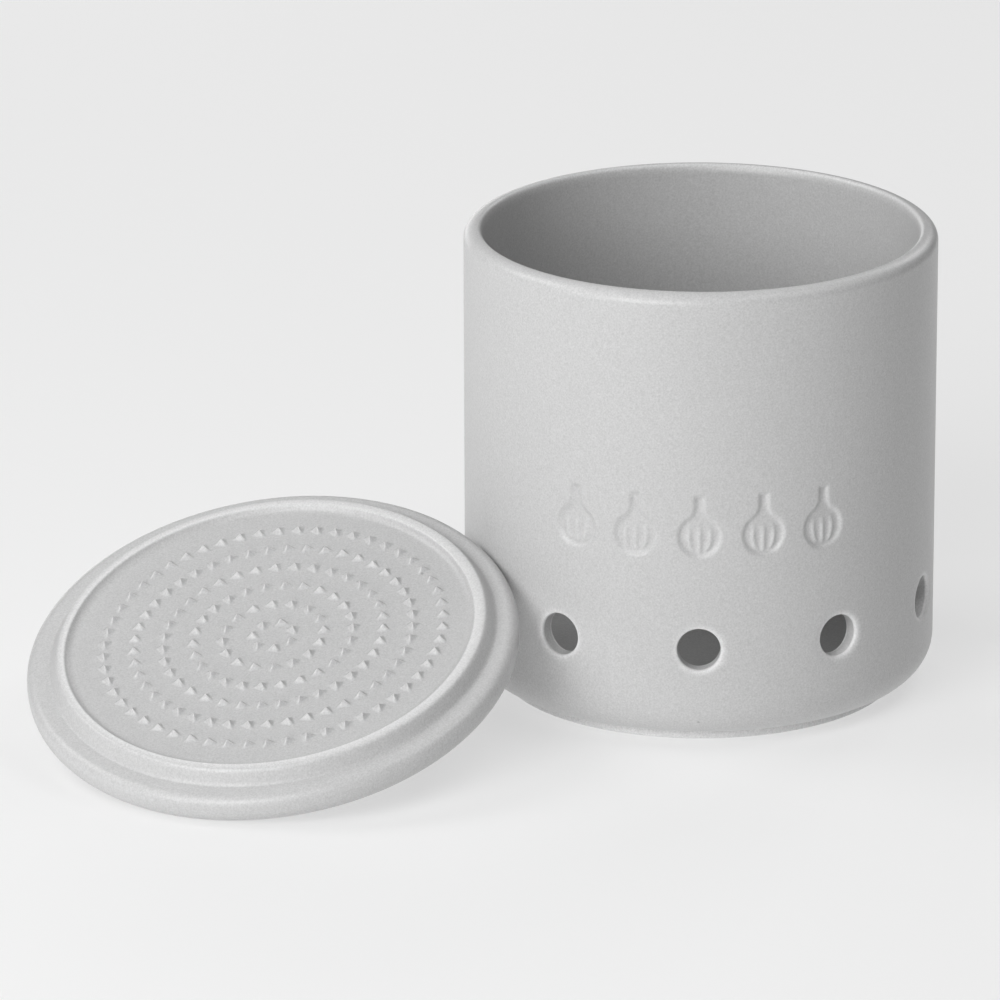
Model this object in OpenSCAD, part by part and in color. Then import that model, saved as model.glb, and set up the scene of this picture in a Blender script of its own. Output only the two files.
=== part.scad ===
// Garlic keeper: a straight-sided glazed stoneware pot with a ring of air vents near its
// foot, and a plug lid whose underside is a ceramic grater. The lid is shown taken off,
// toothed side up, with its low edge on the table and its high edge against the pot.
// Millimetres. The origin is the centre of the pot's flat foot, +Z up, and the keeper's
// front, with the pressed row of bulbs, faces -Y.

/* [Pot] */
// Outside radius of the pot's wall
pot_r = 57.5; // [48:0.5:72]
// Height from the table to the top of the lip
pot_h = 114.5; // [90:0.5:140]
// Thickness of the wall
wall_t = 4.6; // [3.6:0.1:6]
// Thickness of the pot's bottom, measured up from the table
bottom_t = 8; // [6:0.5:12]
// Radius of the curve between the wall and the floor inside
inside_round = 9; // [4:0.5:14]
// Radius of the lip's outer edge
lip_outer_round = 2.8; // [0.6:0.1:3.2]
// Radius of the lip's inner edge
lip_inner_round = 1; // [0.4:0.1:1.2]

/* [Foot] */
// Height of the foot below the glazed body
foot_h = 3.5; // [2:0.1:5]
// Radius of the body's curve down to the foot
base_round = 10.1; // [7:0.1:14]
// Height that is trimmed off the end of that curve, which leaves a crisp edge
base_trim = 1.5; // [0.2:0.1:2]
// Distance that the foot stands in from the crisp edge
foot_step = 4.2; // [1:0.1:5]

/* [Vents] */
// Number of air vents round the pot
vent_count = 10; // [6:1:12]
// Diameter of each vent
vent_d = 10.4; // [6:0.1:14]
// Height from the top of the curve inside to the vents' lower edge
vent_gap = 3.6; // [1:0.1:12]

/* [Pressed motif] */
// Number of garlic bulbs pressed into the front
bulb_count = 5; // [1:1:7]
// Angle from one bulb to the next
bulb_pitch = 15.5; // [14:0.5:24]
// Radius of a bulb's round body
bulb_r = 5; // [3:0.1:5.5]
// Height of a bulb with its neck
bulb_h = 15; // [12.5:0.5:18]
// Width of the neck's tip
neck_w = 2; // [1.4:0.1:2.6]
// Height from the vents' upper edge to the bulbs
bulb_gap = 18.5; // [4:0.5:30]
// Depth of the pressed shapes
press_depth = 0.8; // [0.4:0.1:1.2]

/* [Lid] */
// Distance that the flange stands out past the pot's wall when the keeper is closed
lid_overhang = 2; // [0:0.5:4]
// Thickness of the flange
flange_t = 8; // [6.5:0.1:10]
// Radius of the edge between the flange and the lid's plain outer face
lid_edge = 4.5; // [3:0.1:5.5]
// Radius of the flange's edge on the toothed side
lid_shoulder = 2.6; // [1:0.1:3.2]
// Radial gap between the plug and the pot's mouth when the keeper is closed
plug_clearance = 0.5; // [0.4:0.1:2]
// Height of the plug's ring above the flange
plug_h = 3.5; // [2.8:0.1:6]
// Width of the ring round the toothed disc
ring_w = 3.1; // [2.4:0.1:5]
// Radius of the ring's outer crest edge
ring_outer_round = 1.7; // [0.4:0.1:1.8]
// Radius of the ring's inner crest edge
ring_inner_round = 0.6; // [0.2:0.1:0.6]
// Radius of the hollow curve between the plug and the flange
plug_cove = 1.6; // [0.4:0.1:2]
// Depth of the toothed disc below the ring's crest
recess_d = 1.5; // [1.2:0.1:2.4]

/* [Grater] */
// Radius of the innermost ring of teeth
first_ring_r = 5; // [4:0.1:6]
// Distance from one ring of teeth to the next
ring_pitch = 7.2; // [5.5:0.1:9]
// Least distance from the outermost ring of teeth to the lid's own ring
teeth_margin = 7.5; // [4:0.5:20]
// Distance along a ring from tooth to tooth
tooth_pitch = 4.75; // [4:0.05:7]
// Width of a tooth's steep face
tooth_w = 3.4; // [2:0.1:4]
// Length of a tooth along its ring
tooth_l = 3.4; // [2:0.1:4]
// Height of a tooth above the disc
tooth_h = 1.3; // [0.8:0.1:2]
// Distance from the foot of the steep face to the point above it
tooth_rake = 0.6; // [0.2:0.1:1.2]
// Distance from a tooth's dividing line to its point, towards the steep face
tooth_lead = 0.3; // [0:0.1:1.2]
// How far the grater stands off the lid's middle
grater_shift = 0.9; // [0:0.1:1.5]
// Direction in which it stands off, on the lid's toothed side
grater_shift_dir = 115; // [0:5:355]

/* [Lid's place beside the pot] */
// Angle between the leaning lid and the table
lean = 19.7; // [10:0.1:30]
// Direction towards which the lid leans down, counted from +X towards +Y
lean_dir = 250.2; // [215:0.1:255]
// Direction from the pot's axis to the point where the lid rests against the wall
touch_dir = 209.5; // [195:0.1:220]
// Gap between the lid and the pot where they meet
touch_gap = 0.3; // [0.2:0.1:0.6]
// Turn of the lid about its own axis
lid_spin = -0.8; // [-30:0.1:30]

/* [Hidden] */

SMOOTH = 96;
CUT = 1;                 // how far a cutting shape runs past the surface that it cuts
TOOTH_SINK = 0.4;        // depth of a tooth's root below the disc

mouth_r = pot_r - wall_t;
lip_inner_r = min(lip_inner_round, wall_t - lip_outer_round);
base_rise = base_round - base_trim;
base_edge_r = pot_r - base_round + sqrt(pow(base_round, 2) - pow(base_rise, 2));
foot_r = base_edge_r - foot_step;
vent_z = bottom_t + inside_round + vent_gap + vent_d / 2;
bulb_z = vent_z + vent_d / 2 + bulb_gap;

lid_r = pot_r + lid_overhang;
edge_r = min(lid_edge, flange_t - lid_shoulder);
plug_r = mouth_r - plug_clearance;
ring_inner_r = plug_r - ring_w;
ring_top = flange_t + plug_h;
disc_z = ring_top - recess_d;
cove_r = min(plug_cove, plug_h - ring_outer_round);
ring_count = floor((ring_inner_r - teeth_margin - first_ring_r) / ring_pitch) + 1;

glaze_grey = [0.72, 0.72, 0.71];
lid_grey = [0.76, 0.76, 0.75];

// ---- Half-sections, drawn in the plane of radius (x) and height (y) ----

// What a rounded corner of radius r takes away. The corner is at the origin, and the
// material lies in the quarter that sx and sy point away from.
module corner_cut(r, sx, sy) {
    difference() {
        translate([sx > 0 ? -r : -CUT, sy > 0 ? -r : -CUT]) square(r + CUT);
        translate([-sx * r, -sy * r]) circle(r, $fn = SMOOTH);
    }
}

// What a hollow curve of radius r adds in an inner corner at the origin. The empty
// quarter is the one that sx and sy point into.
module cove(r, sx, sy) {
    difference() {
        translate([sx > 0 ? -CUT / 4 : -r, sy > 0 ? -CUT / 4 : -r]) square(r + CUT / 4);
        translate([sx * r, sy * r]) circle(r, $fn = SMOOTH);
    }
}

// The body's lower edge: all that lies outside the curve down to the foot.
module base_cut() {
    translate([pot_r - base_round, foot_h]) difference() {
        translate([0, -CUT]) square([base_round + CUT, base_rise + CUT]);
        translate([0, base_rise]) circle(base_round, $fn = SMOOTH);
    }
}

module pot_section() {
    difference() {
        union() {
            difference() {
                translate([0, foot_h]) square([pot_r, pot_h - foot_h]);
                base_cut();
            }
            square([foot_r, foot_h + CUT]);
        }
        translate([pot_r, pot_h]) corner_cut(lip_outer_round, 1, 1);
        difference() {
            translate([-CUT, bottom_t]) square([mouth_r + CUT, pot_h - bottom_t + CUT]);
            translate([mouth_r, bottom_t]) corner_cut(inside_round, 1, -1);
        }
        translate([mouth_r, pot_h]) corner_cut(lip_inner_r, -1, 1);
    }
}

module lid_section() {
    difference() {
        union() {
            square([lid_r, flange_t]);
            square([plug_r, ring_top]);
            translate([plug_r, flange_t]) cove(cove_r, 1, 1);
        }
        translate([lid_r, 0]) corner_cut(edge_r, 1, -1);
        translate([lid_r, flange_t]) corner_cut(lid_shoulder, 1, 1);
        translate([plug_r, ring_top]) corner_cut(ring_outer_round, 1, 1);
        translate([-CUT, disc_z]) square([ring_inner_r + CUT, recess_d + CUT]);
        translate([ring_inner_r, ring_top]) corner_cut(ring_inner_round, -1, 1);
    }
}

// ---- Pot ----

// One vent, bored straight through the wall towards the given direction.
module vent(angle) {
    rotate([0, 0, angle]) translate([mouth_r - wall_t, 0, vent_z]) rotate([0, 90, 0])
        cylinder(h = 3 * wall_t, d = vent_d, $fn = SMOOTH);
}

// A garlic bulb's outline: a round body, a straight neck, and the hollow shoulders
// between them, each a circle that touches both the body and the side of the neck.
module bulb_outline() {
    shoulder_r = (bulb_h - 2 * bulb_r) * 0.8;
    reach = neck_w / 2 + shoulder_r;
    shoulder_y = bulb_r + sqrt(pow(bulb_r + shoulder_r, 2) - reach * reach);
    touch = bulb_r / (bulb_r + shoulder_r);
    translate([0, bulb_r]) circle(bulb_r, $fn = SMOOTH);
    translate([-neck_w / 2, bulb_r]) square([neck_w, bulb_h - bulb_r]);
    difference() {
        polygon([
            [-reach * touch, bulb_r + (shoulder_y - bulb_r) * touch],
            [reach * touch, bulb_r + (shoulder_y - bulb_r) * touch],
            [neck_w / 2, shoulder_y],
            [-neck_w / 2, shoulder_y]
        ]);
        for (side = [-1, 1]) translate([side * reach, shoulder_y]) circle(shoulder_r, $fn = SMOOTH);
    }
}

// The row of bulbs, as the layer of wall that they press away.
module pressed_row() {
    first = -90 - bulb_pitch * (bulb_count - 1) / 2;
    intersection() {
        difference() {
            translate([0, 0, bulb_z - CUT])
                cylinder(h = bulb_h + 2 * CUT, r = pot_r + CUT, $fn = SMOOTH);
            translate([0, 0, bulb_z - 2 * CUT])
                cylinder(h = bulb_h + 4 * CUT, r = pot_r - press_depth, $fn = SMOOTH);
        }
        union() {
            for (i = [0 : bulb_count - 1])
                rotate([0, 0, first + i * bulb_pitch])
                    translate([pot_r - 2 * press_depth, 0, bulb_z])
                        rotate([90, 0, 90]) linear_extrude(height = 4 * press_depth) bulb_outline();
        }
    }
}

module pot() {
    color(glaze_grey) difference() {
        rotate_extrude($fn = SMOOTH) pot_section();
        for (i = [0 : vent_count - 1]) vent(-90 + i * 360 / vent_count);
        pressed_row();
    }
}

// ---- Lid ----

// One tooth on the disc: a three-sided point whose steep face looks along +Y times way, and
// whose dividing line is the X axis. Its sides run on below the disc to the root.
module tooth(way) {
    grow = (tooth_h + TOOTH_SINK) / tooth_h;
    back = tooth_rake - tooth_l;
    corners = [[-tooth_w / 2, tooth_rake], [tooth_w / 2, tooth_rake], [0, back]];
    root = [for (c = corners) [c[0] * grow, way * (tooth_lead + c[1] * grow), -TOOTH_SINK]];
    polyhedron(
        points = concat(root, [[0, way * tooth_lead, tooth_h]]),
        faces = way > 0 ? [[0, 1, 2], [1, 0, 3], [2, 1, 3], [0, 2, 3]]
                        : [[2, 1, 0], [3, 0, 1], [3, 1, 2], [3, 2, 0]]
    );
}

// Rings of teeth round the grater's middle, as many as the disc holds. All rings start on
// one line, and the steep faces of neighbouring rings look opposite ways round.
module teeth() {
    for (k = [0 : ring_count - 1]) {
        r = first_ring_r + k * ring_pitch;
        count = round(2 * PI * r / tooth_pitch);
        way = k % 2 == 0 ? 1 : -1;
        for (i = [0 : count - 1])
            rotate([0, 0, 180 + i * 360 / count]) translate([r, 0, disc_z]) tooth(way);
    }
}

// The lid in its own frame: its plain outer face at z = 0, its teeth towards +Z.
module lid_shape() {
    rotate_extrude($fn = SMOOTH) lid_section();
    translate(grater_shift * [cos(grater_shift_dir), sin(grater_shift_dir), 0]) teeth();
}

// The edge of the outer face is a ball of radius edge_r carried round a circle, so the
// leaning lid touches the table and the wall where that circle comes nearest to them.
edge_circle_r = lid_r - edge_r;
edge_circle_z = edge_r + edge_circle_r * sin(lean);

// Seen from above that circle is an ellipse, narrower along lean_dir. This is the point
// of it that faces the wall, from the circle's centre.
facing = touch_dir + 180 - lean_dir;
near_x = pow(edge_circle_r * cos(lean), 2) * cos(facing);
near_y = pow(edge_circle_r, 2) * sin(facing);
near_len = sqrt(near_x * cos(facing) + near_y * sin(facing));
near = [near_x, near_y] / near_len;

stand_off = pot_r + touch_gap + edge_r;
circle_x = stand_off * cos(touch_dir) - near[0] * cos(lean_dir) + near[1] * sin(lean_dir);
circle_y = stand_off * sin(touch_dir) - near[0] * sin(lean_dir) - near[1] * cos(lean_dir);

module lid() {
    color(lid_grey)
        translate([circle_x, circle_y, edge_circle_z])
            rotate([0, lean, lean_dir]) translate([0, 0, -edge_r])
                rotate([0, 0, lid_spin]) lid_shape();
}

pot();
lid();
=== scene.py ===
import bmesh
import bpy
import numpy as np
from mathutils import Matrix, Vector
from mathutils.geometry import delaunay_2d_cdt


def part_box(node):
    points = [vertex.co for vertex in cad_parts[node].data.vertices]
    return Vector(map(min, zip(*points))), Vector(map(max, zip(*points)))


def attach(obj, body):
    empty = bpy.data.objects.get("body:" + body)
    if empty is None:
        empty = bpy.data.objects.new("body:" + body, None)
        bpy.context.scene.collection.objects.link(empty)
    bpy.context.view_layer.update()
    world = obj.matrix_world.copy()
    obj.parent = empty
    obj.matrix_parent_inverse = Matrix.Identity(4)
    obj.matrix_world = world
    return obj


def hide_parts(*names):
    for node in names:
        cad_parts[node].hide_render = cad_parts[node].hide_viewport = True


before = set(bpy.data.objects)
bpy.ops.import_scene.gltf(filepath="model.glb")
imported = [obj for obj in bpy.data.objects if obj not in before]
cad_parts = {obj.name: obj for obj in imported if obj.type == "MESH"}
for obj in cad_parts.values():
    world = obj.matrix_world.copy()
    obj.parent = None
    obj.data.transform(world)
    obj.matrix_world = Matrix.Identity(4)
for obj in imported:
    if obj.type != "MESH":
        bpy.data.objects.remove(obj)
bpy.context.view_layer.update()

# ---- Sizes, in millimetres and degrees ----
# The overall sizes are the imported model's. Some edges and the teeth are softer here, as a
# fired glaze leaves them.

MM = 0.001
FRONT = -90.0

POT_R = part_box("pot")[1].x / MM
POT_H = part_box("pot")[1].z / MM
WALL_T = 4.6
MOUTH_R = POT_R - WALL_T
BOTTOM_T = 8.0
INSIDE_ROUND = 9.0
LIP_OUTER_W = 3.4
LIP_OUTER_H = 2.8
LIP_INNER_W = 1.2
LIP_INNER_H = 2.4
SHADING_GUARD = 0.3

FOOT_H = 3.5
BASE_ROUND = 10.1
BASE_TRIM = 1.5
FOOT_STEP = 4.2
BASE_RISE = BASE_ROUND - BASE_TRIM
BASE_TOP = FOOT_H + BASE_RISE
BASE_EDGE_R = POT_R - BASE_ROUND + (BASE_ROUND**2 - BASE_RISE**2) ** 0.5
FOOT_R = BASE_EDGE_R - FOOT_STEP
FOOT_EDGE = 0.5
FOOT_COVE = 0.7
BASE_EDGE_ROUND = 0.3

VENT_COUNT = 10
VENT_R = 5.2
VENT_Z = 25.8
VENT_OUTER_ROUND = 0.4
VENT_INNER_ROUND = 0.4
VENT_DISH_W = 2.6
VENT_INNER_DISH_W = 1.8
VENT_DISH_DEPTH = 0.5
VENT_DISH_MARGIN = 0.05
VENT_BORE_THIN = 0.1
VENT_BORE_STEP = 0.3
WINDOW_HALF_H = 8.0
WINDOW_HALF_ANGLE = 8.0
WINDOW_HEIGHTS = np.linspace(VENT_Z - WINDOW_HALF_H, VENT_Z + WINDOW_HALF_H, 25)

BULB_COUNT = 5
BULB_PITCH = 15.5
BULB_R = 5.0
BULB_H = 15.0
BULB_Z = 49.5
NECK_W = 2.0
SHOULDER_SHARE = 0.8
PRESS_DEPTH = 0.8
PRESS_SLOPE = 1.3
PRESS_THIN = 0.3
CLOVE_RIDGE = 0.45
CLOVE_RIDGE_W = 0.55
CLOVE_RIDGE_SHARES = (0.0, 0.52)
CLOVE_RIDGE_TOP = 2.6
CLOVE_RIDGE_TOP_FADE = 2.5
CLOVE_RIDGE_SIDE = 0.6
CLOVE_RIDGE_SIDE_FADE = 0.8
BULBS_HALF_ANGLE = 38
COLUMNS_PER_DEGREE = 3
PLAIN_COLUMN_STEP = 2

LID_R = POT_R + 2.0
FLANGE_T = 8.0
LID_EDGE = 4.5
LID_SHOULDER = 2.6
PLUG_R = MOUTH_R - 0.5
RING_INNER_R = PLUG_R - 3.1
RING_TOP = FLANGE_T + 3.5
RING_SIDE_START = PLUG_R - 0.9
RING_SIDE_W = 2.8
RING_SIDE_SHIFT = 0.45
RING_SIDE_DIR = 110.0
RING_INNER_ROUND = 0.6
RING_CREST_R = RING_INNER_R + RING_INNER_ROUND
DISC_Z = RING_TOP - 1.5
DISC_COVE_W = 3.0
DISC_COVE_SLOPE = 58.0
DISC_R = 44.5
LID_COLUMN_STEP = 1.125

RING_COUNT = 6
FIRST_RING_R = 5.0
RING_PITCH = 7.2
TOOTH_PITCH = 4.75
TOOTH_W = 3.2
TOOTH_L = 3.0
TOOTH_H = 1.3
TOOTH_RAKE = 1.0
GRATER_SHIFT = 0.9
GRATER_SHIFT_DIR = 115.0
TOOTH_CORNER_POWER = 3.2
# Lighter colour on the teeth: painted light over the upper part of each tooth, more along each
# ridge and at the tip, where the glaze also draws back.
TOOTH_PAINTED_LIGHT = 0.2
TOOTH_RIDGE_THIN_AND_LIGHT = 0.7
TOOTH_LIGHT_END = 1.1
TOOTH_LIGHT_FADE = 0.5
TOOTH_SPREAD = 1.5
TOOTH_HOLLOW = 1.8
TOOTH_SOFT_TIP = 0.2
TOOTH_LOOPS = (0, 0.02, 0.05, 0.08, 0.12, 0.17, 0.23, 0.3, 0.38, 0.48, 0.6, 0.72, 0.86, 1)

LEAN = 19.7
LEAN_DIR = 250.2
TOUCH_DIR = 209.5
TOUCH_GAP = 0.3
LID_SPIN = -0.8

# Edges where the glaze is lighter, where it draws back from them and where light is painted on:
# radius, height, strength and width of each
POT_EDGES = (
    # The inner lip edge: the glaze draws back there, and a painted highlight runs along it.
    (MOUTH_R + 0.6, POT_H - 0.2, 0.5, 0.6),
    (POT_R - 1.5, POT_H - 0.7, 0.35, 2.4),
    (BASE_EDGE_R, FOOT_H, 0.6, 0.6),
    # The foot: painted light, a lighter colour standing for light bounced up from the floor.
    (FOOT_R, FOOT_H / 3, 0.9, 2.2),
)
LID_EDGES = (
    (RING_INNER_R + 0.7, RING_TOP, 0.7, 0.6),
    (RING_INNER_R + 1.7, RING_TOP, 0.6, 1.0),
    (LID_R - 3.5, FLANGE_T, 0.22, 3.0),
)


# ---- Half-sections: points (radius, height) from the bottom's middle outwards and round ----


def arc(centre, radius, start, end, steps):
    """An arc: the centre plus radius times (cos a, sin a), with a from start to end degrees. A
    flat arc has two radii, across and up."""
    across, up = radius if isinstance(radius, tuple) else (radius, radius)
    a = np.radians(np.linspace(start, end, steps + 1))
    return np.column_stack([centre[0] + across * np.cos(a), centre[1] + up * np.sin(a)])


def straight(start, end, steps=1, guard=0.2):
    """A straight stretch. The point that lies guard from each end keeps the shading of the
    round edges beside the stretch from spreading over it."""
    start, end = np.array(start, float), np.array(end, float)
    near = guard / np.linalg.norm(end - start)
    share = np.concatenate([[0], np.linspace(near, 1 - near, steps + 1), [1]])[:, None]
    return start + (end - start) * share


def joined(*stretches):
    """One line through all the stretches, without the points where two of them meet."""
    line = np.vstack(stretches)
    apart = np.linalg.norm(np.diff(line, axis=0), axis=1) > 1e-6
    return line[np.concatenate([[True], apart])]


def pot_section():
    """The pot's half-section: flat foot, the body's curve, the wall, the lip, and back down
    inside to the middle of the floor."""
    curve_centre = (POT_R - BASE_ROUND, BASE_TOP)
    edge_z = FOOT_H + BASE_EDGE_ROUND
    reach = ((BASE_ROUND - BASE_EDGE_ROUND) ** 2 - (BASE_TOP - edge_z) ** 2) ** 0.5
    edge_centre = (curve_centre[0] + reach, edge_z)
    edge_end = np.degrees(np.arctan2(edge_z - BASE_TOP, reach))
    window = WINDOW_HEIGHTS
    bulbs = np.linspace(BULB_Z - PRESS_SLOPE, BULB_Z + BULB_H + PRESS_SLOPE, 42)
    between = np.linspace(window[-1], bulbs[0], 5)[1:-1]
    above = np.linspace(bulbs[-1], POT_H - LIP_OUTER_H - SHADING_GUARD, 8)[1:]
    base = [BASE_TOP, BASE_TOP + SHADING_GUARD]
    outside = np.concatenate([base, window, between, bulbs, above])
    below_lip = np.linspace(POT_H - LIP_INNER_H - SHADING_GUARD, window[-1], 8)[:-1]
    inside = np.concatenate([below_lip, window[::-1]])
    return joined(
        straight((0, 0), (FOOT_R - FOOT_EDGE, 0), 3),
        arc((FOOT_R - FOOT_EDGE, FOOT_EDGE), FOOT_EDGE, -90, 0, 4),
        straight((FOOT_R, FOOT_EDGE), (FOOT_R, FOOT_H - FOOT_COVE)),
        arc((FOOT_R + FOOT_COVE, FOOT_H - FOOT_COVE), FOOT_COVE, 180, 90, 4),
        straight((FOOT_R + FOOT_COVE, FOOT_H), (edge_centre[0], FOOT_H)),
        arc(edge_centre, BASE_EDGE_ROUND, -90, edge_end, 3),
        arc(curve_centre, BASE_ROUND, edge_end, 0, 14),
        np.column_stack([np.full(len(outside), POT_R), outside]),
        arc((POT_R - LIP_OUTER_W, POT_H - LIP_OUTER_H), (LIP_OUTER_W, LIP_OUTER_H), 0, 90, 14),
        arc((MOUTH_R + LIP_INNER_W, POT_H - LIP_INNER_H), (LIP_INNER_W, LIP_INNER_H), 90, 180, 12),
        np.column_stack([np.full(len(inside), MOUTH_R), inside]),
        arc((MOUTH_R - INSIDE_ROUND, BOTTOM_T + INSIDE_ROUND), INSIDE_ROUND, 0, -90, 12),
        straight((MOUTH_R - INSIDE_ROUND, BOTTOM_T), (0, BOTTOM_T), 4),
    )


def lid_section():
    """The lid's half-section: plain outer face, rounded flange, ring, and the soft hollow
    inside the ring, down to the disc. The ring's outer side is half a wave of a cosine, as
    the glaze draws it out. The hollow rises as a power of the way across it, so that it
    meets the ring's round crest at DISC_COVE_SLOPE."""
    crest_centre = (RING_CREST_R, RING_TOP - RING_INNER_ROUND)
    crest = arc(crest_centre, RING_INNER_ROUND, 90, 90 + DISC_COVE_SLOPE, 6)
    hollow_r = RING_INNER_R - DISC_COVE_W
    across, rise = crest[-1] - (hollow_r, DISC_Z)
    power = np.tan(np.radians(DISC_COVE_SLOPE)) * across / rise
    s = np.linspace(1, 0, 19)
    hollow = [hollow_r + across * s, DISC_Z + rise * s**power]
    side_z = FLANGE_T + (RING_TOP - FLANGE_T) * (1 + np.cos(np.pi * s)) / 2
    return joined(
        straight((0, 0), (LID_R - LID_EDGE, 0), 4),
        arc((LID_R - LID_EDGE, LID_EDGE), LID_EDGE, -90, 0, 14),
        arc((LID_R - LID_SHOULDER, FLANGE_T - LID_SHOULDER), LID_SHOULDER, 0, 90, 10),
        straight((LID_R - LID_SHOULDER, FLANGE_T), (RING_SIDE_START + RING_SIDE_W, FLANGE_T)),
        np.column_stack([RING_SIDE_START + RING_SIDE_W * s, side_z]),
        straight((RING_SIDE_START, RING_TOP), (RING_CREST_R, RING_TOP), guard=0.1),
        crest,
        np.column_stack(hollow),
        straight((hollow_r, DISC_Z), (DISC_R, DISC_Z)),
    )


def edge_thinning(section, edges):
    """How much lighter the glaze is at each point, where it has drawn back and where light is
    painted on: the sum over the edges (radius, height, strength, width) of
    strength * exp(-(distance / width)^2), at most 1."""
    total = np.zeros(len(section))
    for radius, height, strength, width in edges:
        distance = np.hypot(section[:, 0] - radius, section[:, 1] - height)
        total += strength * np.exp(-((distance / width) ** 2))
    return np.minimum(total, 1)


# ---- Shells ----

WELD_DECIMALS = 4


class Shell:
    """A closed surface put together from grids and triangles of points in millimetres. Points
    that lie in one place become one."""

    def __init__(self):
        self.points, self.thin, self.triangles, self.quads = [], [], [], []
        self.count = 0

    def add(self, points, thin):
        first = self.count
        points = np.asarray(points, float).reshape(-1, 3)
        self.points.append(points)
        self.thin.append(np.full(len(points), thin) if np.ndim(thin) == 0 else np.ravel(thin))
        self.count += len(points)
        return first

    def add_grid(self, points, thin=0.0, open_cells=None):
        """points[row, column] with columns that close on themselves. open_cells marks the
        cells, [row, column], that get no face."""
        rows, columns = points.shape[:2]
        index = self.add(points, thin) + np.arange(rows * columns).reshape(rows, columns)
        index = np.column_stack([index, index[:, 0]])
        cells = np.stack([index[:-1, :-1], index[:-1, 1:], index[1:, 1:], index[1:, :-1]], -1)
        self.quads.append(cells.reshape(-1, 4) if open_cells is None else cells[~open_cells])

    def add_triangles(self, points, triangles, thin=0.0):
        self.triangles.append(self.add(points, thin) + np.array(triangles, int))

    def mesh(self, name, turn=None, shift=(0, 0, 0)):
        """The welded mesh in metres, turned and shifted to its place, without points that no
        face uses. A cell that has shrunk to a triangle at a pole becomes one."""
        points = np.vstack(self.points)
        rounded = np.round(points, WELD_DECIMALS)
        _, first, weld = np.unique(rounded, axis=0, return_index=True, return_inverse=True)
        weld = weld.ravel()
        quads = weld[np.vstack(self.quads)]
        low_pole = quads[:, 0] == quads[:, 1]
        high_pole = quads[:, 2] == quads[:, 3]
        triangles = [quads[low_pole][:, [0, 2, 3]], quads[high_pole][:, [0, 1, 2]]]
        triangles += [weld[t] for t in self.triangles]
        placed = points[first] @ (np.eye(3) if turn is None else turn.T) + np.array(shift)
        mesh = bpy.data.meshes.new(name)
        faces = np.vstack(triangles).tolist() + quads[~(low_pole | high_pole)].tolist()
        mesh.from_pydata((placed * MM).tolist(), [], faces)
        # How much lighter the glaze is at each point: drawn-back glaze and painted light.
        thin = mesh.attributes.new("glaze_thin", "FLOAT", "POINT")
        thin.data.foreach_set("value", np.concatenate(self.thin)[first].astype(np.float32))
        work = bmesh.new()
        work.from_mesh(mesh)
        unused = [vert for vert in work.verts if not vert.link_faces]
        bmesh.ops.delete(work, geom=unused, context="VERTS")
        bmesh.ops.recalc_face_normals(work, faces=work.faces)
        work.to_mesh(mesh)
        work.free()
        mesh.polygons.foreach_set("use_smooth", np.ones(len(mesh.polygons), bool))
        mesh.update()
        return mesh


def piece(name, mesh, material, body):
    """A piece that stands for the CAD node of its body's name."""
    obj = bpy.data.objects.new(name, mesh)
    bpy.context.scene.collection.objects.link(obj)
    mesh.materials.append(material)
    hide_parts(body)
    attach(obj, body)


# ---- Pot ----


def bulb_depth(x, y):
    """Depth of a pressed bulb at x from its middle line and y above its lowest point. The
    outline is a circle, a straight neck and two hollow shoulder circles that touch both, and
    d is the distance inside it. The depth is PRESS_DEPTH times a smooth step of d over
    PRESS_SLOPE, less a low ridge along each curve x = share * (half-width at y), which fades
    towards the neck and the outline."""
    x = np.abs(x)
    shoulder_r = (BULB_H - 2 * BULB_R) * SHOULDER_SHARE
    reach = NECK_W / 2 + shoulder_r
    shoulder_y = BULB_R + ((BULB_R + shoulder_r) ** 2 - reach**2) ** 0.5
    touch_y = BULB_R + (shoulder_y - BULB_R) * BULB_R / (BULB_R + shoulder_r)
    body = BULB_R - np.hypot(x, y - BULB_R)
    neck = np.minimum(NECK_W / 2 - x, np.minimum(BULB_H - y, y - BULB_R))
    shoulder = np.hypot(x - reach, y - shoulder_y) - shoulder_r
    beside = (y > touch_y) & (y < shoulder_y) & (x < reach)
    inside = np.maximum(np.maximum(body, neck), np.where(beside, shoulder, -BULB_H))
    step = np.clip(inside / PRESS_SLOPE + 0.5, 0, 1)
    across = np.clip(BULB_R**2 - (y - BULB_R) ** 2, 0, None) ** 0.5
    ridge = sum(
        np.exp(-(((x - share * across) / CLOVE_RIDGE_W) ** 2)) for share in CLOVE_RIDGE_SHARES
    )
    below_neck = np.clip((BULB_R + CLOVE_RIDGE_TOP - y) / CLOVE_RIDGE_TOP_FADE, 0, 1)
    off_outline = np.clip((inside - CLOVE_RIDGE_SIDE) / CLOVE_RIDGE_SIDE_FADE, 0, 1)
    ridge = CLOVE_RIDGE * ridge * below_neck * off_outline
    return PRESS_DEPTH * step * step * (3 - 2 * step) - ridge


def pressed_depth(angle, height):
    """Depth of the row of bulbs in the wall at an angle round the pot and a height."""
    turned = angle - FRONT
    last = (BULB_COUNT - 1) / 2
    nearest = np.clip(np.round(turned / BULB_PITCH), -last, last)
    across = np.radians(turned - nearest * BULB_PITCH) * POT_R
    return bulb_depth(across, height - BULB_Z)


def dish_share(d, width):
    """1 at the vent's circle, falling evenly to 0 at width outside it, for a distance d from
    the vent's axis."""
    return np.clip(1 - (d - VENT_R) / width, 0, 1)


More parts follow.
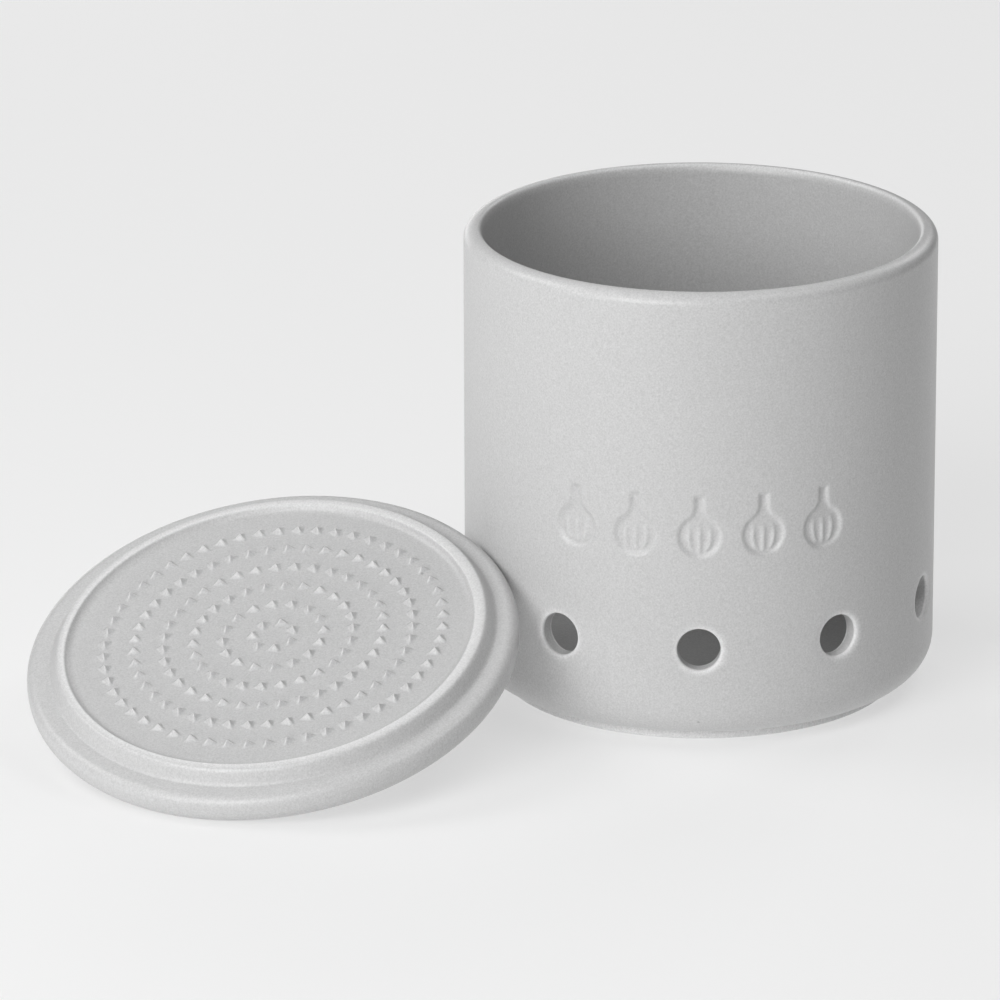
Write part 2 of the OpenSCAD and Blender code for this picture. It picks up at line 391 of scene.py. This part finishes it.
def vent_half(angles, heights, wall_r, rounding, dish_w, side):
    """Rows of points (x, a, b) from a wall's window to the vent's bore, and how much lighter the
    glaze is there as it draws back. Each row is (distance d, polar angle t) round the vent's axis:
    out at the window, in over the soft dish that a punch leaves to the circle, and over a quarter
    round. x is the depth along the vent's axis: (wall radius^2 - (d cos t)^2)^0.5, plus side times
    the rounding and the dish, VENT_DISH_DEPTH * dish_share^3. The dish ends inside the window."""
    window_a, window_b = wall_r * np.sin(angles), heights - VENT_Z
    t = np.arctan2(window_b, window_a)
    far = np.hypot(window_a, window_b)
    dish_end = VENT_R + dish_w + VENT_DISH_MARGIN
    turn = np.radians(np.linspace(0, 90, 7))
    over_wall = [far + (dish_end - far) * s for s in (0, 0.5, 1)]
    over_dish = [np.full(len(t), d) for d in np.linspace(dish_end, VENT_R + rounding, 10)[1:-1]]
    over_edge = [np.full(len(t), VENT_R + rounding * (1 - np.sin(f))) for f in turn]
    rounded = [0.0] * (len(over_wall) + len(over_dish)) + list(rounding * (1 - np.cos(turn)))
    rows, thin = [], []
    for d, depth in zip(over_wall + over_dish + over_edge, rounded):
        a, b = d * np.cos(t), d * np.sin(t)
        share = dish_share(d, dish_w)
        x = (wall_r**2 - a**2) ** 0.5 + side * (depth + VENT_DISH_DEPTH * share**3)
        rows.append(np.column_stack([x, a, b]))
        thin.append(share**2)
    rows.append(rows[-1] + [side * VENT_BORE_STEP, 0, 0])
    thin.append(np.full(len(t), VENT_BORE_THIN))
    return rows, thin


def vent_tube(centre, across):
    """The wall round one vent and the vent's bore, as rows of points in a loop, from the
    window in the outer wall through to the one in the inner wall, which is narrower. across
    is the angles of the window's columns from the vent's axis."""
    sides, ends = len(WINDOW_HEIGHTS) - 2, len(across)
    angles = np.concatenate([
        across, np.full(sides, across[-1]), across[::-1], np.full(sides, across[0]),
    ])
    heights = np.concatenate([
        np.full(ends, WINDOW_HEIGHTS[0]), WINDOW_HEIGHTS[1:-1],
        np.full(ends, WINDOW_HEIGHTS[-1]), WINDOW_HEIGHTS[-2:0:-1],
    ])
    outer, outer_thin = vent_half(angles, heights, POT_R, VENT_OUTER_ROUND, VENT_DISH_W, -1)
    inner, inner_thin = vent_half(
        angles, heights, MOUTH_R, VENT_INNER_ROUND, VENT_INNER_DISH_W, 1
    )
    x, a, b = np.moveaxis(np.array(outer + inner[::-1]), -1, 0)
    c, s = np.cos(np.radians(centre)), np.sin(np.radians(centre))
    points = np.stack([x * c - a * s, x * s + a * c, VENT_Z + b], -1)
    return points, np.array(outer_thin + inner_thin[::-1])


def pot_columns():
    """The angles of the pot's columns: every third of a degree across the bulbs and every
    second degree elsewhere. The windows round the vents begin and end an even number of
    degrees from the front, so they begin and end on columns."""
    last = BULBS_HALF_ANGLE * COLUMNS_PER_DEGREE
    across_bulbs = np.arange(-last, last) / COLUMNS_PER_DEGREE
    plain = np.arange(BULBS_HALF_ANGLE, 360 - BULBS_HALF_ANGLE, PLAIN_COLUMN_STEP)
    return FRONT + np.concatenate([across_bulbs, plain])


def pot_mesh():
    """The half-section carried round the pot's axis. The wall's outside is pressed in by
    pressed_depth, and each vent's window is left open and filled with vent_tube."""
    section = pot_section()
    columns = pot_columns()
    radius, height = section[:, 0], section[:, 1]
    thin = edge_thinning(section, POT_EDGES)[:, None] + np.zeros(len(columns))
    wall = np.isclose(radius, POT_R)[:, None]
    near_bulbs = wall & (height[:, None] > BULB_Z - 2) & (height[:, None] < BULB_Z + BULB_H + 2)
    depth = np.where(near_bulbs, pressed_depth(columns[None, :], height[:, None]), 0.0)
    r = radius[:, None] - depth
    slope = np.clip(4 * depth / PRESS_DEPTH * (1 - depth / PRESS_DEPTH), 0, 1)
    thin = np.maximum(thin, PRESS_THIN * slope)
    a = np.radians(columns)
    grid = np.stack([r * np.cos(a), r * np.sin(a), height[:, None] + 0 * a], -1)

    mid_height = (height[1:] + height[:-1]) / 2
    upright = np.abs(np.diff(radius)) < 1e-6
    in_rows = upright & (np.abs(mid_height - VENT_Z) < WINDOW_HALF_H) & (radius[1:] > MOUTH_R - 1)
    following = np.append(columns[1:], columns[0] + 360)
    middle = (columns + following) / 2 - FRONT
    spacing = 360 / VENT_COUNT
    in_columns = np.abs(middle - spacing * np.round(middle / spacing)) < WINDOW_HALF_ANGLE

    shell = Shell()
    shell.add_grid(grid, thin, in_rows[:, None] & in_columns[None, :])
    for i in range(VENT_COUNT):
        centre = FRONT + i * spacing
        from_vent = (columns - centre + 180) % 360 - 180
        window = np.sort(from_vent[np.abs(from_vent) < WINDOW_HALF_ANGLE + 0.01])
        shell.add_grid(*vent_tube(centre, np.radians(window)))
    return shell.mesh("pot_shell")


# ---- Lid ----


def tooth_outline():
    """A tooth's foot seen from above, round the point under its tip, and how near each of its
    points is to a ridge. In polar form the radius is 1 / (sum over the three sides of
    max(0, cos(a - way the side looks) / distance of the side)^power)^(1 / power), which is a
    triangle with round corners. A ridge is where two sides count alike. +Y is the way that
    the steep face looks."""
    slope = np.arctan2(TOOTH_W / 2, TOOTH_L)
    side_distance = (TOOTH_L - TOOTH_RAKE) * np.sin(slope)
    a = np.radians(np.arange(0, 360, 15))
    looks = [(np.pi / 2, TOOTH_RAKE), (-slope, side_distance), (np.pi + slope, side_distance)]
    sides = [np.maximum(0, np.cos(a - way)) / distance for way, distance in looks]
    together = sum(side**TOOTH_CORNER_POWER for side in sides) ** (1 / TOOTH_CORNER_POWER)
    alone = np.max(sides, axis=0) / together
    ridge = np.clip((1 - alone) / (1 - 2 ** (-1 / TOOTH_CORNER_POWER)), 0, 1)
    return np.column_stack([np.cos(a), np.sin(a)]) / together[:, None], ridge


def tooth_height(s):
    """Height of a tooth over the loop of its outline that is scaled by s: a hollow cone,
    (1 - t / TOOTH_SPREAD)^TOOTH_HOLLOW, which meets the disc at t = TOOTH_SPREAD. Its tip is
    round because t = (s^2 + TOOTH_SOFT_TIP^2)^0.5, which is s away from the tip."""
    t = (s**2 + TOOTH_SOFT_TIP**2) ** 0.5
    left = np.clip(1 - t / TOOTH_SPREAD, 0, 1)
    return TOOTH_H * (left / left[0]) ** TOOTH_HOLLOW


def teeth():
    """All teeth, as [tooth, loop, point] arrays of places on the disc. Each ring's teeth begin
    on one line, and neighbouring rings look opposite ways round."""
    outline, ridge = tooth_outline()
    scale = TOOTH_SPREAD * np.array(TOOTH_LOOPS)
    local = outline[None] * scale[:, None, None]
    found = []
    for ring in range(RING_COUNT):
        radius = FIRST_RING_R + ring * RING_PITCH
        count = round(2 * np.pi * radius / TOOTH_PITCH)
        way = 1 if ring % 2 == 0 else -1
        x = radius + local[..., 0]
        y = way * local[..., 1]
        turn = np.radians(180 + 360 / count * np.arange(count))[:, None, None]
        c, s = np.cos(turn), np.sin(turn)
        found.append(np.stack([x * c - y * s, x * s + y * c], -1))
    shift_dir = np.radians(GRATER_SHIFT_DIR)
    middle = GRATER_SHIFT * np.array([np.cos(shift_dir), np.sin(shift_dir)])
    return np.concatenate(found) + middle, tooth_height(scale), scale, ridge


def disc_triangles(rim, feet):
    """The flat disc between its rim and the teeth's feet: its points (x, y) and the triangles
    that join them. The triangulation gives its points in single precision, so each one is
    taken from the place it came from, and meets its neighbours exactly."""
    places = np.vstack([rim, feet.reshape(-1, 2)])
    loops = [list(range(len(rim)))]
    start = len(rim)
    for foot in feet:
        order = list(range(start, start + len(foot)))
        following = np.roll(foot, -1, axis=0)
        turns_left = np.sum(foot[:, 0] * following[:, 1] - following[:, 0] * foot[:, 1]) > 0
        loops.append(order if turns_left else order[::-1])
        start += len(foot)
    _, _, triangles, origins, _, sources = delaunay_2d_cdt(places.tolist(), [], loops, 1, 1e-6)
    between = [t for t, source in zip(triangles, sources) if len(source) == 1]
    return places[[origin[0] for origin in origins]], between


def lid_shell():
    """The half-section carried round the lid's axis, the teeth, and the flat disc between
    them. The ring's outer side stands RING_SIDE_SHIFT off the middle, a shift that fades to
    nothing at the ring's crest and at the flange's shoulder."""
    columns = np.radians(np.arange(0, 360, LID_COLUMN_STEP))
    section = lid_section()
    thin = edge_thinning(section, LID_EDGES)
    r, z = section[:, 0][:, None], section[:, 1][:, None]
    away = np.cos(columns - np.radians(RING_SIDE_DIR))
    side_ends = [RING_SIDE_START, RING_SIDE_START + RING_SIDE_W]
    share = np.interp(r, [RING_CREST_R, *side_ends, LID_R - LID_SHOULDER], [0, 1, 1, 0])
    r = r + (z > FLANGE_T - 0.01) * share * RING_SIDE_SHIFT * away
    shell = Shell()
    grid = np.stack([r * np.cos(columns), r * np.sin(columns), z + 0 * columns], -1)
    shell.add_grid(grid, thin[:, None] + 0 * columns)

    places, heights, scale, ridge = teeth()
    # Painted light: the upper part of each tooth is lighter, more so along each ridge, where the
    # glaze also draws back.
    tooth_lightening = TOOTH_PAINTED_LIGHT + (TOOTH_RIDGE_THIN_AND_LIGHT - TOOTH_PAINTED_LIGHT) * ridge
    tooth_lightening = tooth_lightening * np.clip((TOOTH_LIGHT_END - scale) / TOOTH_LIGHT_FADE, 0, 1)[:, None]
    for tooth in places:
        z = (DISC_Z + heights)[:, None] + np.zeros(tooth.shape[1])
        shell.add_grid(np.concatenate([tooth, z[..., None]], -1), tooth_lightening)

    rim = DISC_R * np.column_stack([np.cos(columns), np.sin(columns)])
    found, between = disc_triangles(rim, places[:, -1])
    shell.add_triangles(np.column_stack([found, np.full(len(found), DISC_Z)]), between)
    return shell


def lid_place():
    """The lid's turn and shift. The edge of its outer face is a ball of radius LID_EDGE
    carried round a circle, which touches the table and, over TOUCH_GAP, the pot's wall."""
    lean, spin, lean_dir, touch = np.radians([LEAN, LID_SPIN, LEAN_DIR, TOUCH_DIR])
    circle_r = LID_R - LID_EDGE
    facing = touch + np.pi - lean_dir
    facing_wall = np.array([np.cos(facing), np.sin(facing)])
    near = [(circle_r * np.cos(lean)) ** 2, circle_r**2] * facing_wall
    near = near / (near @ facing_wall) ** 0.5
    about_z = np.array(Matrix.Rotation(lean_dir, 3, "Z"))
    stand_off = POT_R + TOUCH_GAP + LID_EDGE
    centre = stand_off * np.array([np.cos(touch), np.sin(touch)]) - about_z[:2, :2] @ near
    leaned = about_z @ np.array(Matrix.Rotation(lean, 3, "Y"))
    shift = np.array([*centre, LID_EDGE + circle_r * np.sin(lean)]) - leaned[:, 2] * LID_EDGE
    return leaned @ np.array(Matrix.Rotation(spin, 3, "Z")), shift


# ---- Finishes ----

CLOUD_SCALE = 28.0
MOTTLE_SCALE = 900.0
GRAIN_SCALE = 2300.0
FLECK_SCALE = 150.0
CLOUD_SHADE = 0.05
MOTTLE_SHADE = 0.13
GRAIN_SHADE = 0.52
FLECK_SHADE = 0.3
FLECK_CHOICE = (0.985, 0.988)
FLECK_EDGE = (0.03, 0.07)
EDGE_UNEVEN = 0.15
INNER_FADE = 0.0004
SATIN = 0.46
MOTTLE_SATIN = 0.12
EDGE_SATIN = 0.04
COAT = 0.25
SKIN_STRENGTH = 0.35
SKIN_DEPTH = 0.00006


class Value:
    """A number in a material's node tree. Sums, differences and products of values and plain
    numbers add Math nodes."""

    def __init__(self, recipe, socket):
        self.recipe, self.socket = recipe, socket

    def math(self, operation, first, second):
        return self.recipe.node("ShaderNodeMath", {0: first, 1: second}, {"operation": operation})

    def __add__(self, other):
        return self.math("ADD", self, other)

    def __radd__(self, other):
        return self.math("ADD", other, self)

    def __sub__(self, other):
        return self.math("SUBTRACT", self, other)

    def __rsub__(self, other):
        return self.math("SUBTRACT", other, self)

    def __mul__(self, other):
        return self.math("MULTIPLY", self, other)

    def __rmul__(self, other):
        return self.math("MULTIPLY", other, self)


class Recipe:
    """A material's node tree."""

    def __init__(self, name):
        self.material = bpy.data.materials.new(name)
        self.material.use_nodes = True
        self.tree = self.material.node_tree
        self.tree.nodes.clear()

    def node(self, kind, inputs, settings=None, output=0):
        """Adds a node: first its settings, then the values or links of its sockets."""
        added = self.tree.nodes.new(kind)
        for key, value in (settings or {}).items():
            setattr(added, key, value)
        for key, value in inputs.items():
            if isinstance(value, Value):
                self.tree.links.new(value.socket, added.inputs[key])
            else:
                added.inputs[key].default_value = value
        return Value(self, added.outputs[output])

    def noise(self, place, scale, detail, roughness=0.5):
        inputs = {"Vector": place, "Scale": scale, "Detail": detail, "Roughness": roughness}
        return self.node("ShaderNodeTexNoise", inputs)

    def ramp(self, value, low, high):
        """0 below low, 1 above high, and a smooth step between."""
        inputs = {"Value": value, "From Min": low, "From Max": high}
        return self.node("ShaderNodeMapRange", inputs, {"interpolation_type": "SMOOTHSTEP"})

    def mix(self, share, first, second, blend="MIX"):
        """Two colours mixed. A Mix node's colour sockets are its 6th and 7th inputs."""
        settings = {"data_type": "RGBA", "blend_type": blend}
        return self.node("ShaderNodeMix", {0: share, 6: first, 7: second}, settings, 2)

    def grey(self, value):
        return self.node("ShaderNodeCombineColor", {0: value, 1: value, 2: value})

    def surface(self, inputs):
        """The finished material: a Principled shader with these inputs, and the output."""
        shader = self.node("ShaderNodeBsdfPrincipled", inputs)
        output = self.tree.nodes.new("ShaderNodeOutputMaterial")
        self.tree.links.new(shader.socket, output.inputs["Surface"])
        return self.material


def glaze(name, colour, drawn_and_painted_light_colour, inner_painted_shade_colour, inner_r):
    """Satin stoneware glaze: a soft grey that turns lighter where it draws back from an edge
    and where light is painted on (a highlight along the pot's inner lip edge, light bounced up
    onto the foot, light over the teeth), with cloudy depth, a fine mottle, a few dark flecks,
    and a skin that is not quite even. Nearer to the pot's axis than inner_r metres it has the
    inner colour, which is a little darker: painted shade inside the pot."""
    recipe = Recipe(name)
    place = recipe.node("ShaderNodeTexCoord", {}, output="Object")
    thin = recipe.node("ShaderNodeAttribute", {}, {"attribute_name": "glaze_thin"}, "Fac")
    cloud = recipe.noise(place, CLOUD_SCALE, 2.0)
    mottle = recipe.noise(place, MOTTLE_SCALE, 3.0, 0.65)
    grain = recipe.noise(place, GRAIN_SCALE, 2.0, 0.6)
    cells = {"Vector": place, "Scale": FLECK_SCALE}
    near = recipe.node("ShaderNodeTexVoronoi", cells, output="Distance")
    kind = recipe.node("ShaderNodeTexVoronoi", cells, output="Color")
    chosen = recipe.ramp(recipe.node("ShaderNodeSeparateColor", {0: kind}), *FLECK_CHOICE)
    fleck = chosen * (1.0 - recipe.ramp(near, *FLECK_EDGE))
    # The lighter colour's share: where the glaze draws back, and where light is painted on.
    uneven = (mottle - 0.5) * EDGE_UNEVEN * recipe.ramp(thin, 0.02, 0.3)
    edge = recipe.ramp(thin + uneven, 0.0, 1.0)
    shade = 1.0 + (cloud - 0.5) * CLOUD_SHADE + (mottle - 0.5) * MOTTLE_SHADE
    shade = shade + (grain - 0.5) * GRAIN_SHADE
    level = {0: place, 1: (1, 1, 0)}
    from_axis = recipe.node("ShaderNodeVectorMath", level, {"operation": "MULTIPLY"})
    radius = recipe.node("ShaderNodeVectorMath", {0: from_axis}, {"operation": "LENGTH"}, "Value")
    # The inside of the pot takes the inner colour, which is a little darker: painted shade.
    inside = 1.0 - recipe.ramp(radius, inner_r, inner_r + INNER_FADE)
    base = recipe.mix(edge, recipe.mix(inside, colour, inner_painted_shade_colour), drawn_and_painted_light_colour)
    base = recipe.mix(1.0, base, recipe.grey(shade - fleck * FLECK_SHADE), "MULTIPLY")
    roughness = SATIN + (mottle - 0.5) * MOTTLE_SATIN + edge * EDGE_SATIN
    skin = mottle * 0.6 + grain * 0.4 - fleck * 0.5
    bump = {"Height": skin, "Strength": SKIN_STRENGTH, "Distance": SKIN_DEPTH}
    relief = recipe.node("ShaderNodeBump", bump, output="Normal")
    return recipe.surface({
        "Base Color": base, "Roughness": roughness, "Normal": relief,
        "Coat Weight": COAT, "Coat Roughness": COAT,
    })


# ---- The pieces ----

GLAZE = (0.54, 0.54, 0.54, 1)
# The lighter colour: glaze drawn back from edges, and painted light on the foot, the inner lip
# edge and the teeth.
DRAWN_GLAZE_AND_PAINTED_LIGHT = (0.75, 0.75, 0.75, 1)
# A little darker than the outer glaze: painted shade inside the pot.
INNER_GLAZE_PAINTED_SHADE = (0.52, 0.52, 0.52, 1)

pot_glaze = glaze("pot_satin_glaze", GLAZE, DRAWN_GLAZE_AND_PAINTED_LIGHT, INNER_GLAZE_PAINTED_SHADE, MOUTH_R * MM)
lid_glaze = glaze("lid_satin_glaze", GLAZE, DRAWN_GLAZE_AND_PAINTED_LIGHT, GLAZE, 0.0)

piece("stoneware_pot", pot_mesh(), pot_glaze, "pot")
turn, shift = lid_place()
piece("grater_lid", lid_shell().mesh("lid_shell", turn, shift), lid_glaze, "lid")


# ---- Floor, light and camera ----

FLOOR_R = 3.0
FLOOR_SIDES = 96
FLOOR_GREY = 0.4
FLOOR_GLOW = 0.5

LIGHT_AIM = (-0.03, 0.0, 0.04)
LIGHT_DISTANCE = 1.2

VIEW_TURN = 1.377
VIEW_DOWN = 18.65
VIEW_ROLL = -0.16
VIEW_AIM = (-0.849 * POT_R, 0.0, 0.7748 * POT_R)
VIEW_DISTANCE = 35 * POT_R
FOCAL_PER_WIDTH = 8.2177


def floor():
    """A plain round floor that glows a little, as a lit backdrop does."""
    a = np.radians(np.arange(FLOOR_SIDES) * 360 / FLOOR_SIDES)
    rim = np.column_stack([FLOOR_R * np.cos(a), FLOOR_R * np.sin(a), 0 * a])
    mesh = bpy.data.meshes.new("floor")
    mesh.from_pydata(rim.tolist(), [], [list(range(FLOOR_SIDES))])
    mesh.materials.append(Recipe("floor_white").surface({
        "Base Color": (FLOOR_GREY, FLOOR_GREY, FLOOR_GREY, 1), "Roughness": 0.8,
        "Emission Color": (1, 1, 1, 1), "Emission Strength": FLOOR_GLOW,
    }))
    obj = bpy.data.objects.new("floor", mesh)
    bpy.context.scene.collection.objects.link(obj)


def softbox(name, round_left, up, size, watts):
    """A soft light LIGHT_DISTANCE from LIGHT_AIM and turned to it: round_left degrees round
    from the front to the left, and up degrees above the floor."""
    light = bpy.data.lights.new(name, "AREA")
    light.shape = "RECTANGLE"
    light.size, light.size_y = size
    light.energy = watts
    turned, raised = np.radians([round_left, up])
    away = [-np.sin(turned) * np.cos(raised), -np.cos(turned) * np.cos(raised), np.sin(raised)]
    place = np.array(LIGHT_AIM) + LIGHT_DISTANCE * np.array(away)
    obj = bpy.data.objects.new(name, light)
    obj.matrix_world = looking(place, np.array(LIGHT_AIM) - place, 0.0)
    bpy.context.scene.collection.objects.link(obj)


def looking(place, toward, roll):
    """The matrix of a lamp or camera at a place that looks a way, with +Y of its own upwards,
    rolled by so many degrees about its view."""
    forward = np.array(toward, float) / np.linalg.norm(toward)
    right = np.cross(forward, [0, 0, 1])
    right /= np.linalg.norm(right)
    up = np.cross(right, forward)
    c, s = np.cos(np.radians(roll)), np.sin(np.radians(roll))
    axes = np.column_stack([c * right + s * up, -s * right + c * up, -forward])
    whole = np.eye(4)
    whole[:3, :3] = axes
    whole[:3, 3] = place
    return Matrix(whole.tolist())


def camera():
    """The photograph's view: it looks down by VIEW_DOWN at VIEW_AIM, from VIEW_DISTANCE, and
    stands VIEW_TURN round from straight in front of the pot."""
    turn = np.array(Matrix.Rotation(np.radians(VIEW_TURN), 3, "Z"))
    down = np.radians(VIEW_DOWN)
    toward = turn @ np.array([0, np.cos(down), -np.sin(down)])
    aim = turn @ np.array(VIEW_AIM) * MM
    data = bpy.data.cameras.new("view")
    data.sensor_width = 36
    data.lens = FOCAL_PER_WIDTH * data.sensor_width
    data.clip_end = 20
    obj = bpy.data.objects.new("view", data)
    obj.matrix_world = looking(aim - toward * VIEW_DISTANCE * MM, toward, VIEW_ROLL)
    bpy.context.scene.collection.objects.link(obj)
    bpy.context.scene.camera = obj


SMALL = (0.6, 0.6)
LARGE = (0.8, 0.8)

# Name, degrees round to the left, degrees up, width and height in metres, and watts of each
SOFTBOXES = (
    ("front_left", 20, 30, LARGE, 6.2),
    ("key_left", 35, 18, (0.7, 0.6), 4.6),
    ("key_left_high", 50, 35, LARGE, 1.2),
    ("overhead_back", 180, 50, LARGE, 1.8),
    ("overhead_left", 100, 45, SMALL, 3.8),
    ("overhead_right", -60, 65, SMALL, 1.5),
    ("right_high", -90, 60, SMALL, 1.3),
    ("back_right", -150, 30, (0.4, 0.4), 1.7),
    ("rim_left", 163, 5, (0.7, 0.3), 1.5),
)

floor()
camera()
for box in SOFTBOXES:
    softbox(*box)

world = bpy.data.worlds.new("studio")
world.use_nodes = True
world.node_tree.nodes["Background"].inputs["Strength"].default_value = 0.0
bpy.context.scene.world = world
bpy.context.scene.view_settings.view_transform = "Standard"
